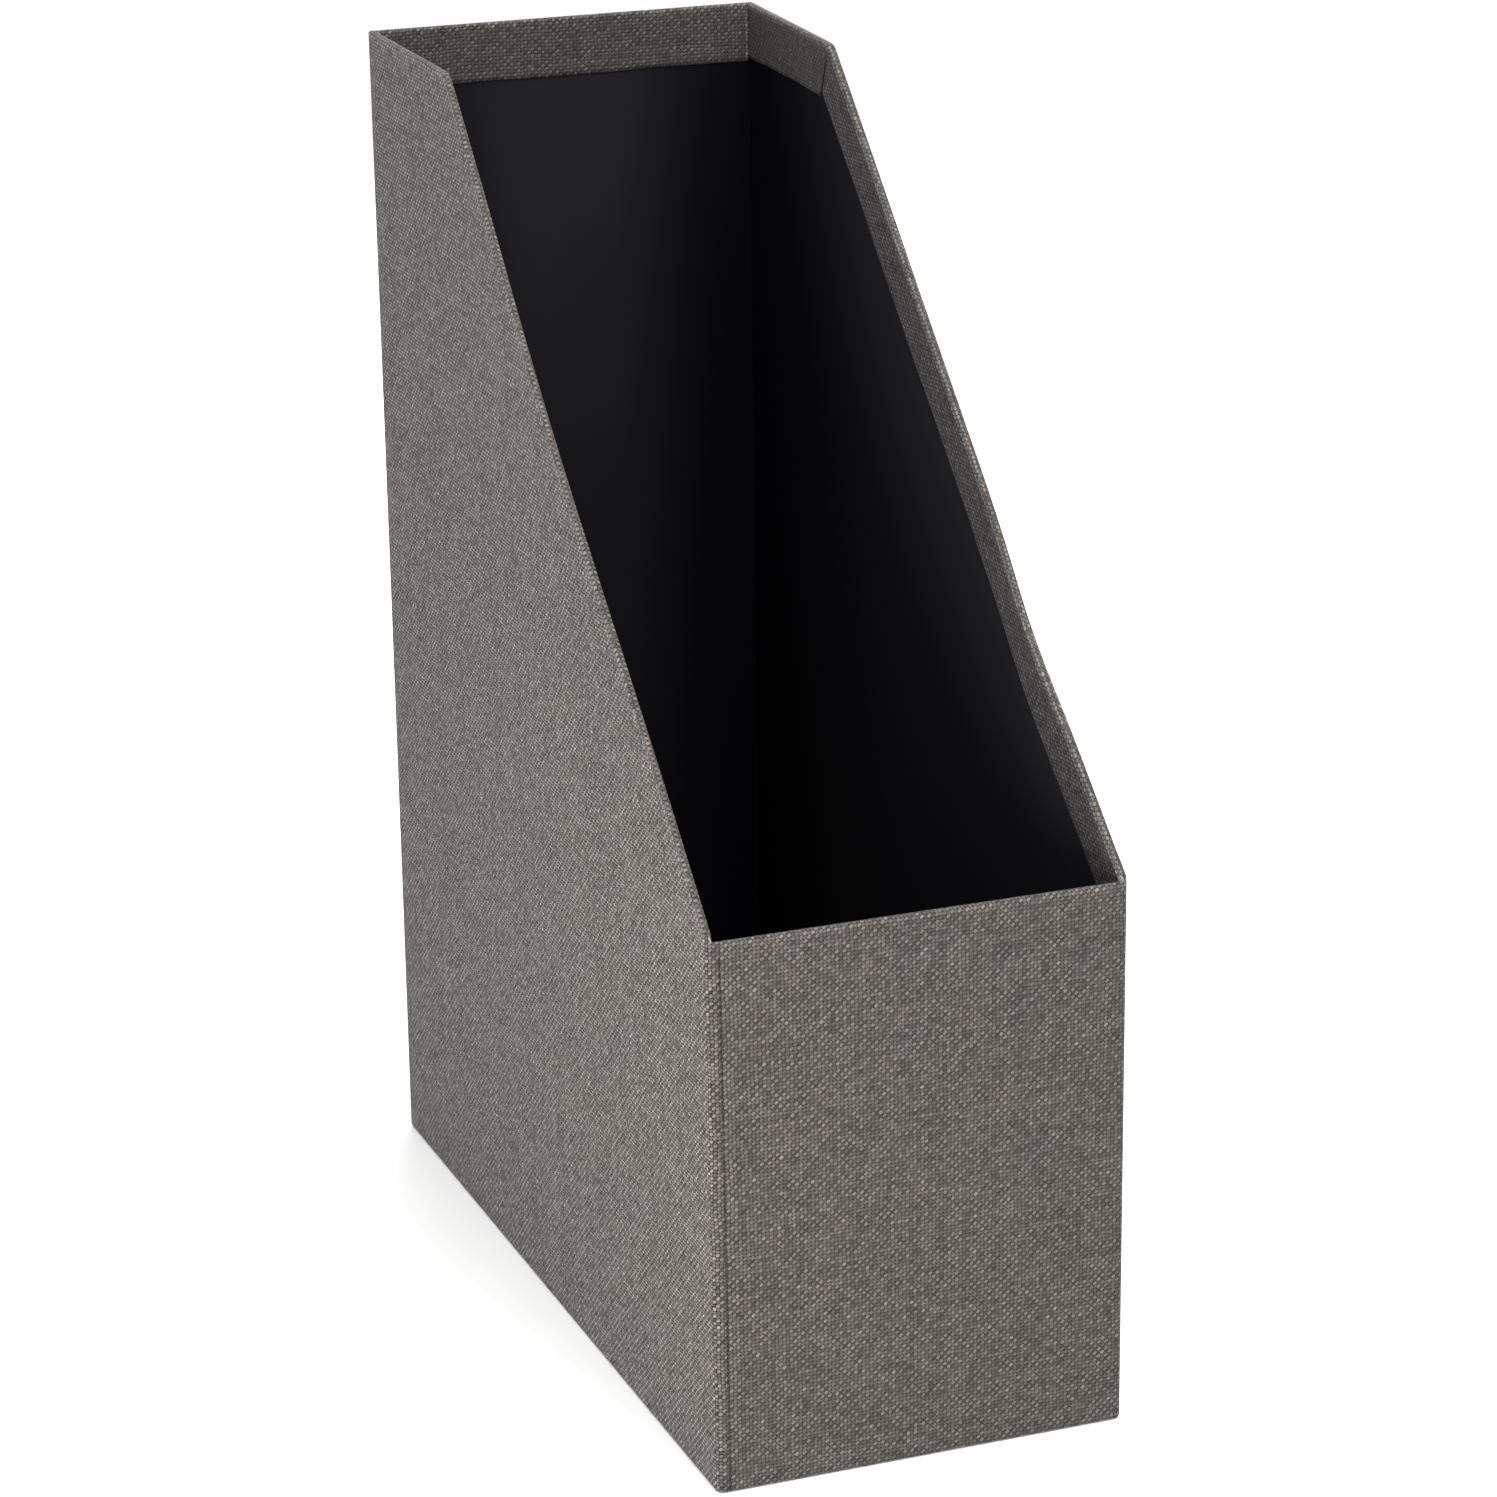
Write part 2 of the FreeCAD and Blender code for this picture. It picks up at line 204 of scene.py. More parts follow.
def canvasMaterial():
    look = canvasLook
    material, tree, shader = startMaterial(
        "greyBrownCanvas", Roughness=0.92, Specular_IOR_Level=0.18, Sheen_Weight=0.06
    )
    flat = addNode(tree, "ShaderNodeUVMap", uv_map="flatCloth").outputs["UV"]

    def wandered(place, scale, amount):
        swing = noise(tree, place, scale, detail=1, colour=True)
        centred = addNode(
            tree, "ShaderNodeVectorMath", {0: swing, 1: (0.5, 0.5, 0.5)}, operation="SUBTRACT"
        ).outputs[0]
        scaled = stretched(tree, centred, (amount, amount, 0))
        return addNode(
            tree, "ShaderNodeVectorMath", {0: place, 1: scaled}, operation="ADD"
        ).outputs[0]

    place = flat
    for amount, scale in (look["drift"], look["tremble"]):
        place = wandered(place, scale, amount)
    parts = addNode(tree, "ShaderNodeSeparateXYZ", {0: place})
    across = calc(tree, "DIVIDE", parts.outputs["X"], look["pitch"][0])
    along = calc(tree, "DIVIDE", parts.outputs["Y"], look["pitch"][1])
    column, row = calc(tree, "FLOOR", across), calc(tree, "FLOOR", along)

    def yarn(along, across, line, sign, thinness):
        # a round yarn that goes over one yarn and under the next, each bump a little slanted
        turn = calc(tree, "SUBTRACT", calc(tree, "SUBTRACT", along, line), 0.5)
        angle = calc(tree, "MULTIPLY", turn, math.pi)
        lean = calc(tree, "MULTIPLY", calc(tree, "SINE", angle), -sign * look["slant"])
        middle = calc(tree, "SUBTRACT", calc(tree, "FRACT", across), 0.5)
        aside = calc(tree, "ADD", middle, lean)
        section = calc(tree, "MULTIPLY", calc(tree, "MULTIPLY", aside, aside), thinness)
        rounded = calc(tree, "SQRT", calc(tree, "MAXIMUM", calc(tree, "SUBTRACT", 1, section), 0))
        wave = calc(tree, "MULTIPLY", calc(tree, "COSINE", angle), sign * look["crimp"])
        return calc(tree, "MULTIPLY_ADD", rounded, look["swell"], wave)

    upright = yarn(along, across, column, 1, look["thinness"][0])
    level = yarn(across, along, row, -1, look["thinness"][1])
    height = calc(tree, "MAXIMUM", upright, level)
    isUpright = calc(tree, "GREATER_THAN", upright, level)

    def yarnTone(number, seed):
        whole = calc(tree, "ADD", number, seed)
        node = addNode(tree, "ShaderNodeTexWhiteNoise", {"W": whole}, noise_dimensions="1D")
        return node.outputs["Value"]

    def choose(first, second):
        inputs = {0: isUpright, 2: first, 3: second}
        return addNode(tree, "ShaderNodeMix", inputs, data_type="FLOAT").outputs[0]

    levelSeed, uprightSeed = 317.61, 0.37
    tone = choose(yarnTone(row, levelSeed), yarnTone(column, uprightSeed))
    fine, coarse = look["fibre"]
    uprightFibre = noise(tree, stretched(tree, flat, (fine, coarse, 1)), 1, detail=3)
    levelFibre = noise(tree, stretched(tree, flat, (coarse, fine, 1)), 1, detail=3)
    fibre = choose(levelFibre, uprightFibre)
    cell = addNode(tree, "ShaderNodeCombineXYZ", {"X": column, "Y": row}).outputs[0]
    crossing = addNode(
        tree, "ShaderNodeTexWhiteNoise", {"Vector": cell}, noise_dimensions="2D"
    ).outputs["Value"]
    slub = calc(tree, "GREATER_THAN", crossing, look["slubs"])
    cloud = noise(tree, flat, look["cloud"], detail=4, roughness=0.65)

    # light and dark of the cloth: yarn by yarn, crossing by crossing, fibre by fibre
    weights = look["lights"]
    light = weights["all"]
    for word, value in (
        ("yarn", tone),
        ("crossing", crossing),
        ("fibre", fibre),
        ("cloud", cloud),
        ("slub", slub),
    ):
        light = calc(tree, "MULTIPLY_ADD", value, weights[word], light)
    depth = remap(tree, height, *look["gap"], 0.0, 1)
    for factor in (depth, choose(look["levelYarn"], 1.0)):
        light = calc(tree, "MULTIPLY", light, factor)
    # the cloth mesh carries painted light: its grain sets painted relief shading, how hard the
    # weave's light and dark swing, and its tone sets painted highlight and painted shade
    grain = addNode(tree, "ShaderNodeAttribute", attribute_name="grain").outputs["Fac"]
    paintedLight = addNode(tree, "ShaderNodeAttribute", attribute_name="tone").outputs["Fac"]
    swing = calc(tree, "MULTIPLY", calc(tree, "SUBTRACT", light, look["evenLight"]), grain)
    swung = calc(tree, "ADD", swing, look["evenLight"])
    light = calc(tree, "MULTIPLY", calc(tree, "MAXIMUM", swung, look["leastLight"]), paintedLight)
    final = addNode(
        tree, "ShaderNodeVectorMath", {0: look["colour"], "Scale": light}, operation="SCALE"
    ).outputs[0]
    tree.links.new(final, shader.inputs["Base Color"])

    fuzzy = calc(tree, "MULTIPLY_ADD", fibre, look["fuzz"], height)
    addBump(tree, shader, fuzzy, look["relief"])
    return material


# Papers, board and tape.
paperLook = {
    "pale": ((0.0128, 0.0122, 0.0152), (0.0172, 0.0164, 0.0200)),  # off its soft patches and on
    # painted shade: the colour of the lining where it is most shaded, in its back corners
    "dark": (0.0026, 0.0024, 0.0052),
    "tooth": 900,  # scale of the paper's grain
    "toothDepth": 0.02 * mm,
    "cloud": 24,  # scale of its soft patches
    "roughness": (0.4, 0.5),
}


def blackPaper():
    look = paperLook
    material, tree, shader = startMaterial("blackPaper", Specular_IOR_Level=0.05)
    place = addNode(tree, "ShaderNodeTexCoord").outputs["Object"]
    cloud = noise(tree, place, look["cloud"], detail=3)
    tooth = noise(tree, place, look["tooth"], detail=3, roughness=0.6)
    mixing = calc(tree, "MULTIPLY_ADD", tooth, 0.5, calc(tree, "MULTIPLY", cloud, 0.5))
    colour = mixColour(tree, mixing, *look["pale"])
    # painted shade: the mesh's tone mixes the paper from its painted shade colour up to its own
    # colour
    paintedLightShare = addNode(tree, "ShaderNodeAttribute", attribute_name="tone").outputs["Fac"]
    final = mixColour(tree, paintedLightShare, look["dark"], colour)
    tree.links.new(final, shader.inputs["Base Color"])
    tree.links.new(remap(tree, cloud, 0, 1, *look["roughness"]), shader.inputs["Roughness"])
    addBump(tree, shader, tooth, look["toothDepth"])
    return material


boardLook = {
    "pulp": ((0.22, 0.21, 0.195), (0.28, 0.27, 0.25)),  # between fibres and on them
    "fibre": (1500, 1500, 420),  # how fine the fibres are, each way
    "fibreDepth": 0.05 * mm,
    "fleck": (0.13, 0.125, 0.12),
    "fleckSize": 1100,
    "fleckLimit": 0.66,  # more is fewer flecks
}


def greyBoard():
    material, tree, shader = startMaterial("greyBoard", Roughness=0.95, Specular_IOR_Level=0.2)
    place = addNode(tree, "ShaderNodeTexCoord").outputs["Object"]
    fibres = noise(tree, stretched(tree, place, boardLook["fibre"]), 1, detail=4)
    specks = noise(tree, place, boardLook["fleckSize"], detail=2)
    flecks = calc(tree, "GREATER_THAN", specks, boardLook["fleckLimit"])
    pulp = mixColour(tree, fibres, *boardLook["pulp"])
    colour = mixColour(tree, flecks, pulp, boardLook["fleck"])
    tree.links.new(colour, shader.inputs["Base Color"])
    addBump(tree, shader, fibres, boardLook["fibreDepth"])
    return material


tapeLook = {
    "kraft": ((0.26, 0.165, 0.085), (0.36, 0.24, 0.13)),  # darkest and lightest
    "laid": (300, 300, 2600),  # how fine the laid lines are, each way
    "laidDepth": 0.02 * mm,
    "cloud": 160,  # scale of the soft patches
}


def gummedTape():
    material, tree, shader = startMaterial("gummedTape", Roughness=0.62, Specular_IOR_Level=0.35)
    place = addNode(tree, "ShaderNodeTexCoord").outputs["Object"]
    laid = noise(tree, stretched(tree, place, tapeLook["laid"]), 1, detail=3)
    cloud = noise(tree, place, tapeLook["cloud"], detail=3)
    mixing = calc(tree, "MULTIPLY_ADD", laid, 0.6, calc(tree, "MULTIPLY", cloud, 0.4))
    colour = mixColour(tree, mixing, *tapeLook["kraft"])
    tree.links.new(colour, shader.inputs["Base Color"])
    addBump(tree, shader, laid, tapeLook["laidDepth"])
    return material


canvas, paper, board, tape = canvasMaterial(), blackPaper(), greyBoard(), gummedTape()
print("materials made")


# The walls of a glued box aren't quite flat: they lean and bow a little, most at the rim.
bow = {
    "leftLean": (0.5 * mm, -0.5 * mm),  # at the foot, front and back; minus is outward
    "leftRim": 0.55 * mm,  # outward, all along the slope
    "leftBelly": (1.5 * mm, 0.57, 0.29),  # more, at this share of the slope, and this wide
    "leftBack": 1.45 * mm,  # outward at the back corner
    "rightRim": (1.2 * mm, 0.1),  # inward, over all of the slope but its first share
    "rightDip": (1.3 * mm, 0.28, 0.1),  # more, near its lower end
    "backLift": (0.75 * mm, 0.4 * mm),  # how much higher the back rim stands, left and right
    "bendLift": (0.5 * mm, -0.4 * mm),  # the same where slope and level meet
    "stiffness": 1.5,  # how much of this is kept for the upper part of the walls
}


def rimLine(y, drop=0.0, slantHere=slant, soft=0.8 * mm):
    # height of the rim, or of a line that runs parallel to it and lower
    slope = frontHeight + rise * (y + halfDepth) - drop * slantHere
    level = fileHeight - drop
    return 0.5 * (slope + level - np.sqrt((slope - level) ** 2 + soft**2))


def bulge(slope, amount, middle, width):
    return amount * np.exp(-(((slope - middle) / width) ** 2))


def settle(points):
    x, y, z = np.array(points, float).T
    slope = np.clip((y + halfDepth) / (cornerY + halfDepth), 0, 1)
    level = np.clip((y - cornerY) / (halfDepth - cornerY), 0, 1)
    back = (y + halfDepth) / (2 * halfDepth)
    lean = bow["leftLean"][0] + (bow["leftLean"][1] - bow["leftLean"][0]) * back
    leftSlope = bow["leftRim"] + bulge(slope, *bow["leftBelly"])
    left = -(leftSlope + (bow["leftBack"] - leftSlope) * level)
    inward, fade = bow["rightRim"]
    reach = 1 - np.exp(-slope / fade)
    right = -(inward * reach * (1 - level) + bulge(slope, *bow["rightDip"]))
    up = np.clip(z / rimLine(y), 0, 1) ** bow["stiffness"]
    leftShift = lean + (left - lean) * up
    rightShift = right * up
    share = np.clip((x + halfWidth) / (2 * halfWidth), 0, 1)
    lifts = []
    for bend, rear in zip(bow["bendLift"], bow["backLift"]):
        lifts.append((bend * slope**2 * (1 - level) + rear * level) * up)
    lift = lifts[0] + (lifts[1] - lifts[0]) * share
    return np.stack([x + leftShift + (rightShift - leftShift) * share, y, z + lift], axis=1)


def makeObject(name, mesh, material, slotName, *replaced):
    piece = bpy.data.objects.new(name, mesh)
    bpy.context.scene.collection.objects.link(piece)
    mesh.materials.clear()
    mesh.materials.append(material)
    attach(piece, "root")
    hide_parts(*replaced)
    return piece


# The cover cloth.
cover = {
    "cornerRadius": 2.3 * mm,
    "backRadius": 1.1 * mm,  # the back corners are folded sharper
    "footRadius": 0.6 * mm,
    "rimSoftness": 0.8 * mm,  # how far down the rounding of the rim reaches
    "turnInFront": 14 * mm,  # how deep the cloth is turned in, wall by wall
    "turnInSlope": 13.2 * mm,
    "turnInLevel": 14.9 * mm,
    "turnInBack": 16.0 * mm,
    "seamOffset": 1.2 * mm,  # from the near corner's round to the cut edge
    "seamWidth": 0.75 * mm,
    "seamDepth": 0.18 * mm,
    "seamThin": 0.75,  # how much thinner the cloth is in the groove
    "seamFade": 4 * mm,  # how far below the rim the groove runs out
    "slitStart": 2.6 * mm,  # below the rim
    "slitWidth": 0.8 * mm,
    "slitTaper": 2.5 * mm,  # how far it takes to open
    "slitPaintedShade": 0.4,  # painted shade: how dark its edges are
    "skewReach": 22 * mm,  # how far from the slit the turned-in cloth is pulled askew
    "cornerFold": 0.85 * mm,  # radius of the gathered cloth in the inner back corners
    "beadPaintedLight": (0.45, 2.2, 2.8, 2.9, 2.9, 2.6, 0.8),  # of the cloth along that bead: a painted highlight in its middle, painted shade at its two ends
    "edgeWave": 0.22 * mm,  # how much the cut edge inside wanders
    "waveLengths": (9 * mm, 3.7 * mm),
    "spacing": 3 * mm,  # between columns
    "slitColumns": (0, 0.5, 1, 1.6, 2.4, 3.5, 5, 7.5),  # mm from a slit to the columns near it
    "cornerSteps": 8,
    "underRows": (15, 10, 5, 2.2),  # mm in from the wall, the cut edge first
    "footAngles": (22, 45, 68),  # degrees, of the rows on the rounded bottom edge
    "footSunk": 0.6,  # how much of the groove goes on round it
    "wallRows": 84,
    "rimSteps": 12,
    "rimSquareness": 2.6,  # 2 is round, more is squarer
    # shares of the turn-in, closest together where the cloth leaves the rim
    "insideRows": (0.03, 0.08, 0.14, 0.2, 0.27, 0.36, 0.48, 0.6, 0.72, 0.84, 0.93, 1.0),
    "turnInPaintedShade": (1.0, 0.56, 0.5),  # painted shade: how dark the turn-in is: back and front, levels, slopes
    "rimPaintedHighlight": 1.33,  # painted highlight: how light the cloth is over the rim
    "sideReliefShade": 1.5,  # painted relief shading: how much stronger the weave's light and dark are on the outside of the sides
    "slopeReliefShade": 1.7,  # the same for the slopes' turn-in
    "backGrain": 0.82,  # and for the back's turn-in, where the painted relief shading is weaker
    "seamPaintedShade": 0.45,  # painted shade: how dark the groove beside the cut edge is
}


def spread(start, end, spacing):
    count = max(2, int(math.ceil(abs(end - start) / spacing)) + 1)
    return list(np.linspace(start, end, count))


def coverStations():
    # one station per column of the cloth: place, way in, and what its rim does there
    radius, backRadius = cover["cornerRadius"], cover["backRadius"]
    x1, y1 = halfWidth - radius, halfDepth - radius
    x2, y2 = halfWidth - backRadius, halfDepth - backRadius
    seamX = -x1 + cover["seamOffset"]
    groove = cover["seamWidth"]
    near = np.array(cover["slitColumns"]) * mm
    steps = cover["cornerSteps"]
    slopeYs = spread(-y1, cornerY - near[-1], cover["spacing"])
    slopeYs += [cornerY - step for step in near[-2::-1]]
    levelYs = [cornerY + step for step in near]
    levelYs += spread(cornerY + near[-1], y2, cover["spacing"])[1:]
    stations = []

    def add(x, y, inX, inY, **facts):
        stations.append({"x": x, "y": y, "inX": inX, "inY": inY, **facts})

    def arc(centreX, centreY, start, slantStart, slantEnd, radius=radius, bead=()):
        for step in range(1, steps):
            angle = math.radians(start + 90 * step / steps)
            outX, outY = math.cos(angle), math.sin(angle)
            slantHere = slantStart + (slantEnd - slantStart) * step / steps
            x, y = centreX + radius * outX, centreY + radius * outY
            add(x, y, -outX, -outY, slant=slantHere, bead=bead[step - 1] if bead else 1)

    # the front starts at the cut edge, where the columns are close together
    besideSeam = [seamX, seamX + 0.15 * mm, seamX + 0.6 * mm]
    for x in besideSeam + spread(seamX + 2 * mm, x1, cover["spacing"]):
        add(x, -halfDepth, 0, 1, slant=1, turnIn=cover["turnInFront"])
    arc(x1, -y1, -90, 1, slant)
    for side, ys in ((1, slopeYs), (2, levelYs)):
        for y in ys:
            add(halfWidth, y, -1, 0, way=1, side=side)
    arc(x2, y2, 0, slant, slant, backRadius, cover["beadPaintedLight"])
    for x in spread(x2, -x2, cover["spacing"]):
        add(x, halfDepth, 0, -1, turnIn=cover["turnInBack"])
    arc(-x2, y2, 90, slant, slant, backRadius, cover["beadPaintedLight"][::-1])
    for side, ys in ((2, levelYs[::-1]), (1, slopeYs[::-1])):
        for y in ys:
            add(-halfWidth, y, 1, 0, way=-1, side=side)
    arc(-x1, -y1, 180, slant, 1)
    # the lapped cloth dips into a groove and comes up under the cut edge
    for x, sunk in (
        (-x1, 0),
        (seamX - groove - 0.2 * mm, 0),
        (seamX - groove, 0.15),
        (seamX - 0.7 * groove, 0.9),
        (seamX - 0.1 * groove, 1),
        (seamX, 0),
    ):
        add(x, -halfDepth, 0, 1, slant=1, turnIn=cover["turnInFront"], sunk=sunk)

    usual = {"slant": slant, "way": 0, "side": 0, "turnIn": np.nan, "sunk": 0, "bead": 1}
    arrays = {}
    for word in ("x", "y", "inX", "inY", *usual):
        arrays[word] = np.array([float({**usual, **s}[word]) for s in stations])
    side = arrays["side"]
    arrays["turnIn"][side == 1] = cover["turnInSlope"]
    arrays["turnIn"][side == 2] = cover["turnInLevel"]
    known = ~np.isnan(arrays["turnIn"])
    order = np.arange(len(side))
    arrays["turnIn"] = np.interp(order, order[known], arrays["turnIn"][known])
    lengths = np.hypot(np.diff(arrays["x"]), np.diff(arrays["y"]))
    arrays["s"] = np.concatenate([[0], np.cumsum(lengths)])
    return arrays


def gathered(at, px, py, amount):
    # the cloth is gathered in each inner back corner, in a small round bead
    insideX, insideY = halfWidth - wallThick, halfDepth - wallThick
    count = len(at["s"])
    for sign in (1, -1):
        ends = [
            k
            for k in range(count)
            if abs(at["x"][k] * sign - halfWidth) < 2 * cover["backRadius"]
            and at["y"][k] > halfDepth - 1.001 * cover["backRadius"]
        ]
        turn = np.linspace(0, math.pi / 2, len(ends))
        if sign < 0:
            turn = turn[::-1]
        size = cover["cornerFold"]
        beadX = sign * (insideX - size * np.sin(turn))
        beadY = insideY - size * np.cos(turn)
        px[ends] += amount * (beadX - px[ends])
        py[ends] += amount * (beadY - py[ends])


def coverRows(at):
    # the cloth from its cut edge under the base, up the wall, over the rim and down inside
    count = len(at["s"])
    s, y, way = at["s"], at["y"], at["way"]
    foot, footRadius, soft = clothFoot, cover["footRadius"], cover["rimSoftness"]
    wallBase = foot + footRadius
    tangent = rimLine(y, soft, at["slant"])
    slantHere = np.where(at["side"] == 1, slant, 1.0)
    gradient = np.where(at["side"] == 1, rise, 0.0) * way
    normalU, normalV = -gradient / slantHere, 1 / slantHere
    nearSlit = np.clip(1 - np.abs(y - cornerY) / cover["skewReach"], 0, 1)
    skew = np.where(at["side"] > 0, nearSlit, 0)
    # painted relief shading: the weave's light and dark swing harder on the outside of the sides
    outerReliefShade = 1 + (cover["sideReliefShade"] - 1) * np.abs(at["inX"])
    rows = []

    def add(inward, z, u, v, tone=1.0, shiftY=0.0, fold=0.0, sunk=0.0, grain=1.0):
        depth = inward + sunk * at["sunk"] * cover["seamDepth"] * np.ones(count)
        px, py = at["x"] + at["inX"] * depth, at["y"] + at["inY"] * depth + shiftY
        if fold > 0:
            gathered(at, px, py, fold)
        if inward > cover["backRadius"]:
            px = np.clip(px, inward - halfWidth, halfWidth - inward)
            py = np.clip(py, inward - halfDepth, halfDepth - inward)
        # painted shade in the groove beside the cut edge, fading with its depth
        paintedLight = tone * (1 - sunk * (1 - cover["seamPaintedShade"]) * at["sunk"]) * np.ones(count)
        rows.append(
            {
                "point": np.stack([px, py, z * np.ones(count)], axis=1),
                "flat": np.stack([u * np.ones(count), v * np.ones(count)], axis=1),
                "tone": paintedLight,
                "thin": 1 - cover["seamThin"] * sunk * at["sunk"],
                "grain": grain * np.ones(count),
            }
        )

    # turned under the base
    quarter = footRadius * math.pi / 2
    for inward in [row * mm for row in cover["underRows"]] + [footRadius]:
        add(inward, foot, s, wallBase - quarter - (inward - footRadius))
    for angle in np.radians(cover["footAngles"]):
        add(
            footRadius * (1 - math.sin(angle)),
            foot + footRadius * (1 - math.cos(angle)),
            s,
            wallBase - quarter + footRadius * angle,
            sunk=cover["footSunk"],
        )
    # up the wall, with the rows closer together under the rim
    shares = np.concatenate([np.linspace(0, 0.97, cover["wallRows"]), [0.985, 0.995, 1]])
    for share in shares:
        z = wallBase + share * (tangent - wallBase)
        fade = np.clip((tangent - z) / cover["seamFade"], 0, 1)
        # painted highlight on the top row of the wall
        rimHighlightGain = (cover["rimPaintedHighlight"] - 1) * (share == 1)
        add(0.0, z, s, z, sunk=fade, tone=1 + rimHighlightGain, grain=outerReliefShade)
    # over the rim, with a painted highlight
    half = wallThick / 2
    power = 2 / cover["rimSquareness"]
    length = 0.0
    before = (0.0, 0.0)
    for angle in np.linspace(0, math.pi, cover["rimSteps"] + 1)[1:]:
        turn = math.cos(angle)
        inward = half - half * math.copysign(abs(turn) ** power, turn)
        up = soft * abs(math.sin(angle)) ** power
        length += math.hypot(inward - before[0], up - before[1])
        before = (inward, up)
        z = rimLine(y, soft - up, at["slant"])
        add(inward, z, s + normalU * length, tangent + normalV * length, tone=cover["rimPaintedHighlight"])
    # down inside, to the cut edge, which wanders in two waves
    long, short = cover["waveLengths"]
    wave = 0.6 * np.sin(s / long) + 0.4 * np.sin(s / short + 1.3)
    reach = at["turnIn"] + cover["edgeWave"] * wave - soft
    # painted shade: the turn-in is made darker, wall by wall
    backTurnInShade, levelTurnInShade, slopeTurnInShade = cover["turnInPaintedShade"]
    turnInShadeTo = backTurnInShade + (levelTurnInShade - backTurnInShade) * np.abs(at["inX"])
    turnInShadeTo = np.where(at["side"] == 1, slopeTurnInShade, turnInShadeTo)
    # painted shade on the slit's edges
    slitShadeDepth = (y == cornerY) * (1 - cover["slitPaintedShade"])
    # painted relief shading on the turn-in: weaker on the back, stronger on the slopes
    innerReliefShade = 1 - (1 - cover["backGrain"]) * np.abs(at["inY"]) * (y > 0)
    innerReliefShade = np.where(at["side"] == 1, cover["slopeReliefShade"], innerReliefShade)
    first, second, third = cover["insideRows"][:3]
    for share in cover["insideRows"]:
        drop = soft + share * reach
        opened = np.clip((drop - cover["slitStart"]) / cover["slitTaper"], 0, 1)
        opening = opened * cover["slitWidth"] / 2
        gap = np.where((y == cornerY) & (at["side"] == 1), -opening, 0)
        gap = np.where((y == cornerY) & (at["side"] == 2), opening, gap)
        slide = skew * (drop - soft) * (slant - 1) / rise + gap
        z = rimLine(y + slide, drop, at["slant"])
        along = s + way * slide
        below = np.where(at["side"] == 1, (drop - soft), tangent - z)
        footU, footV = along + normalU * below, z + normalV * below
        # painted light: the rim's painted highlight fades into the turn-in's painted shade
        tone = cover["rimPaintedHighlight"] + (turnInShadeTo - cover["rimPaintedHighlight"]) * min(1, share / second)
        tone = tone * (1 - slitShadeDepth * (drop > cover["slitStart"]))
        # painted highlight and painted shade along the bead in the back corners
        tone = tone * (at["bead"] if share > first else 1)
        add(
            wallThick,
            z,
            footU + normalU * (length + below),
            footV + normalV * (length + below),
            tone=tone,
            shiftY=slide,
            fold=min(1, share / third),
            grain=innerReliefShade,
        )
    return rows


def makeCoverCloth():
    at = coverStations()
    rows = coverRows(at)
    columns = len(at["s"])
    points = np.concatenate([row["point"] for row in rows])
    flats = np.concatenate([row["flat"] for row in rows])
    paintedLights = np.concatenate([row["tone"] for row in rows])
    thins = np.concatenate([row["thin"] * np.ones(columns) for row in rows])
    grains = np.concatenate([row["grain"] for row in rows])
    points = settle(points)

    mesh = bpy.data.meshes.new("coverCloth")
    form = bmesh.new()
    flatLayer = form.loops.layers.uv.new("flatCloth")
    paintedLightLayer = form.verts.layers.float.new("tone")
    thinLayer = form.verts.layers.float.new("thin")
    grainLayer = form.verts.layers.float.new("grain")
    spots = []
    for point, tone, thin, grain in zip(points, paintedLights, thins, grains):
        spot = form.verts.new(point)
        spot[paintedLightLayer] = tone
        spot[thinLayer] = thin
        spot[grainLayer] = grain
        spots.append(spot)
    # slope and level have a column each at the slit, so no face joins them
    slits = [i for i in range(columns - 1) if at["side"][i] * at["side"][i + 1] == 2]
    for j in range(len(rows) - 1):
        for i in range(columns - 1):
            if i in slits:
                continue
            low, high = j * columns + i, (j + 1) * columns + i
            ring = [low, low + 1, high + 1, high]
            face = form.faces.new([spots[k] for k in ring])
            face.smooth = True
            for loop, k in zip(face.loops, ring):
                loop[flatLayer].uv = flats[k]
    bmesh.ops.remove_doubles(form, verts=form.verts, dist=weld)
    bmesh.ops.dissolve_degenerate(form, edges=form.edges, dist=sliver)
    flatArea = 0.0
    for face in form.faces:
        uvs = [loop[flatLayer].uv for loop in face.loops]
        pairs = zip(uvs, uvs[1:] + uvs[:1])
        flatArea += abs(sum(a.x * b.y - b.x * a.y for a, b in pairs)) / 2
    form.to_mesh(mesh)
    form.free()

    piece = makeObject("coverCloth", mesh, canvas, "canvas", "cover_cloth")
    group = piece.vertex_groups.new(name="thin")
    thinValues = np.zeros(len(mesh.vertices), np.float32)
    mesh.attributes["thin"].data.foreach_get("value", thinValues)
    for index, value in enumerate(thinValues):
        group.add([index], float(value), "REPLACE")
    solid = piece.modifiers.new("clothThickness", "SOLIDIFY")
    solid.thickness = clothThick
    solid.offset = -1
    solid.vertex_group = "thin"
    span = flats.max(axis=0) - flats.min(axis=0)
    print(f"cover cloth: flat {span[0]:.4f} x {span[1]:.4f} m, area {flatArea:.4f} m2")
    return piece, (float(span[0]), float(span[1])), flatArea


coverCloth, clothSize, clothArea = makeCoverCloth()


# Boards, papers and stays.
pieceMesh = {
    "boardSpacing": 8 * mm,  # from cut to cut
    "liningSpacing": 4 * mm,
    "flatAngle": 0.2,  # degrees; faces that meet flatter than this are joined first
    "sharpAngle": 35,  # degrees; edges sharper than this stay crisp
}


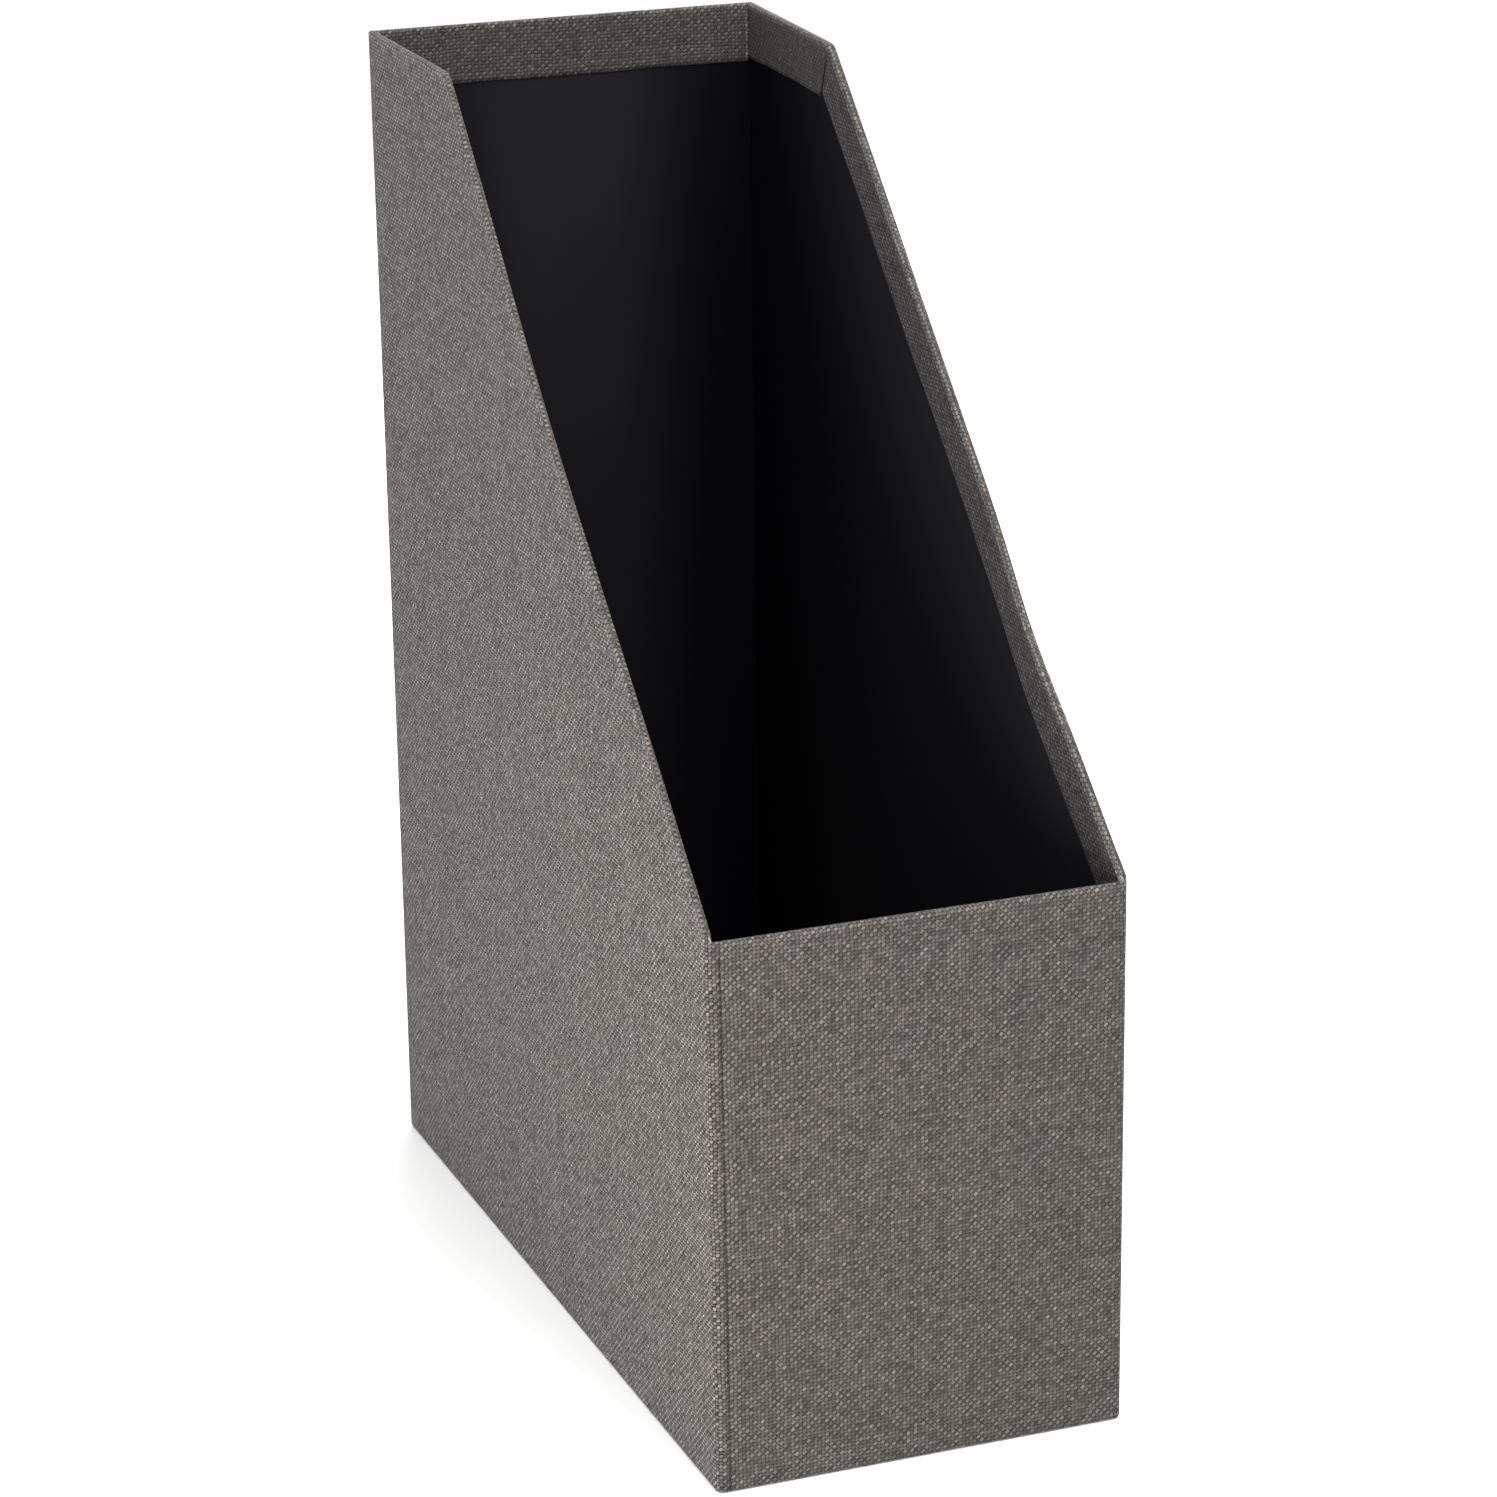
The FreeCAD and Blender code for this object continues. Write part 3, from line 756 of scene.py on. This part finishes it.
def settledCopy(name, node, material, slotName, spacing=pieceMesh["boardSpacing"], paintedShadeOf=None):
    # the frame's own piece, cut into small faces so that it can follow the settled walls
    form = bmesh.new()
    form.from_mesh(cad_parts[node].data)
    bmesh.ops.remove_doubles(form, verts=form.verts, dist=weld)
    flatAngle = math.radians(pieceMesh["flatAngle"])
    bmesh.ops.dissolve_limit(form, angle_limit=flatAngle, verts=form.verts, edges=form.edges)
    low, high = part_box(node)
    for axis in (0, 1, 2):
        normal = Vector((axis == 0, axis == 1, axis == 2))
        for cut in spread(low[axis], high[axis], spacing)[1:-1]:
            everything = form.verts[:] + form.edges[:] + form.faces[:]
            bmesh.ops.bisect_plane(
                form, geom=everything, dist=sliver, plane_co=normal * cut, plane_no=normal
            )
    # painted shade for the linings; 1 where none is painted
    paintedLightLayer = form.verts.layers.float.new("tone")
    for vertex in form.verts:
        vertex[paintedLightLayer] = paintedShadeOf(vertex.co) if paintedShadeOf else 1.0
    places = settle([v.co for v in form.verts])
    for vertex, place in zip(form.verts, places):
        vertex.co = place
    bmesh.ops.recalc_face_normals(form, faces=form.faces)
    for face in form.faces:
        face.smooth = True
    mesh = bpy.data.meshes.new(name)
    form.to_mesh(mesh)
    form.free()
    mesh.set_sharp_from_angle(angle=math.radians(pieceMesh["sharpAngle"]))
    return makeObject(name, mesh, material, slotName, node)


walls = ("left_side", "right_side", "front", "back")
corners = ("front_left", "front_right", "back_left", "back_right")


def camel(words):
    first, *rest = words.split("_")
    return first + "".join(word.capitalize() for word in rest)


for wall in walls + ("base",):
    settledCopy(camel(f"{wall}_board"), f"{wall}_board", board, "grey_board")

# Painted shade: the lining is made darkest in the back corners and paler away from them, and each
# wall gets its own painted light level, standing in for how light falls inside the box.
liningPaintedShade = {
    "least": 0.1,  # how pale it is in the corners, where the painted shade is deepest
    "back": (8 * mm, 44 * mm, 1.0),  # where it starts to pale, where it stops, and how pale
    "left_side": (0, 115 * mm, 0.95),
    "right_side": (0, 115 * mm, 0.95),
    "front": (0, 1 * mm, 0.5),
    "floor": (10 * mm, 60 * mm, 0.6),
}


def paintedShading(wall):
    start, full, level = liningPaintedShade[wall]
    least = liningPaintedShade["least"]

    def paintedShadeOf(spot):
        away = math.hypot(halfWidth - wallThick - abs(spot.x), halfDepth - wallThick - spot.y)
        share = min(1, max(0, (away - start) / (full - start)))
        return level * (least + (1 - least) * share * share * (3 - 2 * share))

    return paintedShadeOf


for wall in walls + ("floor",):
    name = f"{wall}_lining"
    spacing = pieceMesh["liningSpacing"]
    settledCopy(camel(name), name, paper, "black_paper", spacing, paintedShading(wall))
for corner in corners:
    settledCopy(camel(f"{corner}_corner_stay"), f"{corner}_corner_stay", tape, "stay_tape")
for edge in ("left", "right", "front", "back"):
    settledCopy(camel(f"{edge}_base_stay"), f"{edge}_base_stay", tape, "stay_tape")
settledCopy("undersidePaper", "underside_paper", paper, "underside_paper")
print("boards, papers and stays settled")


# Floor and light.
studio = {
    "floorSize": 60,  # metres, so that its edge is never seen
    "floorColour": (0.93, 0.93, 0.93),
    "world": 0.77,
    "overhead": (0.73, 60),  # a soft sun from above: strength and angle
    "lamps": {
        # name: place, what it points at, diameter, watts
        "lowKey": ((-0.42, -0.34, 0.03), (-0.05, -0.05, 0.08), 0.3, 4.4),
        "leftFill": ((-0.25, -0.5, 1.4), (0, 0, 0.2), 1.0, 6.8),
        "rightFill": ((0.3, -0.6, 1.3), (0, 0, 0.2), 1.0, 10.0),
        "backFill": ((0.6, 0.95, 0.7), (0, 0, 0.15), 1.0, 12.0),
    },
}


def makeStudio():
    scene = bpy.context.scene
    scene.view_settings.view_transform = "Standard"
    form = bmesh.new()
    half = studio["floorSize"] / 2
    bmesh.ops.create_grid(form, x_segments=16, y_segments=16, size=half)
    mesh = bpy.data.meshes.new("floor")
    form.to_mesh(mesh)
    form.free()
    floor = bpy.data.objects.new("floor", mesh)
    scene.collection.objects.link(floor)
    colour = (*studio["floorColour"], 1)
    material = startMaterial(
        "paleFloor", Base_Color=colour, Roughness=0.9, Specular_IOR_Level=0.1
    )[0]
    mesh.materials.append(material)

    world = bpy.data.worlds.new("studio")
    world.use_nodes = True
    background = world.node_tree.nodes["Background"]
    background.inputs["Color"].default_value = (1, 1, 1, 1)
    background.inputs["Strength"].default_value = studio["world"]
    scene.world = world

    sun = bpy.data.lights.new("overhead", "SUN")
    strength, angle = studio["overhead"]
    sun.energy = strength
    sun.angle = math.radians(angle)
    light = bpy.data.objects.new("overhead", sun)
    light.location = (0, 0, 2)
    scene.collection.objects.link(light)

    for name, (spot, target, diameter, power) in studio["lamps"].items():
        lamp = bpy.data.lights.new(name, "AREA")
        lamp.shape = "DISK"
        lamp.size = diameter
        lamp.energy = power
        light = bpy.data.objects.new(name, lamp)
        light.location = spot
        aim = Vector(target) - Vector(spot)
        light.rotation_euler = aim.to_track_quat("-Z", "Y").to_euler()
        light.visible_camera = False
        scene.collection.objects.link(light)


makeStudio()
print("studio lit")
